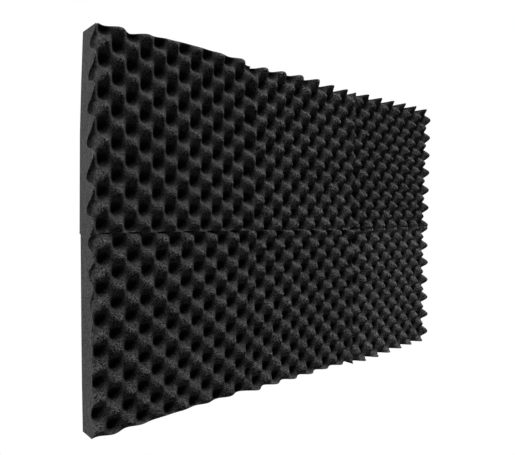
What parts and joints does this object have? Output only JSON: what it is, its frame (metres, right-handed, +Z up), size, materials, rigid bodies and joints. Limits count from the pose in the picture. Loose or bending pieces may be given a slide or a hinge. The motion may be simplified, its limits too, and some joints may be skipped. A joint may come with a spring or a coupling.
{
  "type": "acoustic foam panel",
  "caption": "Wall panel of square foam tiles butted edge to edge, each with an egg-crate relief of peaks and pits, stuck up with squares of double-sided tape to damp echoes.",
  "frame": {"origin": "middle of the panel, on the wall's face, where the outer faces of the tape pads lie", "axes": "+X along the wall to the right as the viewer faces the foam, +Z up the wall, +Y into the wall, so the foam stands out towards -Y"},
  "size_m": [0.9138, 0.0518, 0.609],
  "materials": {
    "foam": "matt charcoal open-cell polyurethane foam",
    "tape": "off-white double-sided foam tape"
  },
  "bodies": {
    "root": {"foam_tile_top_left": "foam", "foam_tile_top_middle": "foam", "foam_tile_top_right": "foam", "foam_tile_bottom_left": "foam", "foam_tile_bottom_middle": "foam", "foam_tile_bottom_right": "foam", "tape_pad_top_left_centre": "tape", "tape_pad_top_left_high_left": "tape", "tape_pad_top_left_high_right": "tape", "tape_pad_top_left_low_left": "tape", "tape_pad_top_left_low_right": "tape", "tape_pad_top_middle_centre": "tape", "tape_pad_top_middle_high_left": "tape", "tape_pad_top_middle_high_right": "tape", "tape_pad_top_middle_low_left": "tape", "tape_pad_top_middle_low_right": "tape", "tape_pad_top_right_centre": "tape", "tape_pad_top_right_high_left": "tape", "tape_pad_top_right_high_right": "tape", "tape_pad_top_right_low_left": "tape", "tape_pad_top_right_low_right": "tape", "tape_pad_bottom_left_centre": "tape", "tape_pad_bottom_left_high_left": "tape", "tape_pad_bottom_left_high_right": "tape", "tape_pad_bottom_left_low_left": "tape", "tape_pad_bottom_left_low_right": "tape", "tape_pad_bottom_middle_centre": "tape", "tape_pad_bottom_middle_high_left": "tape", "tape_pad_bottom_middle_high_right": "tape", "tape_pad_bottom_middle_low_left": "tape", "tape_pad_bottom_middle_low_right": "tape", "tape_pad_bottom_right_centre": "tape", "tape_pad_bottom_right_high_left": "tape", "tape_pad_bottom_right_high_right": "tape", "tape_pad_bottom_right_low_left": "tape", "tape_pad_bottom_right_low_right": "tape"}
  },
  "joints": []
}
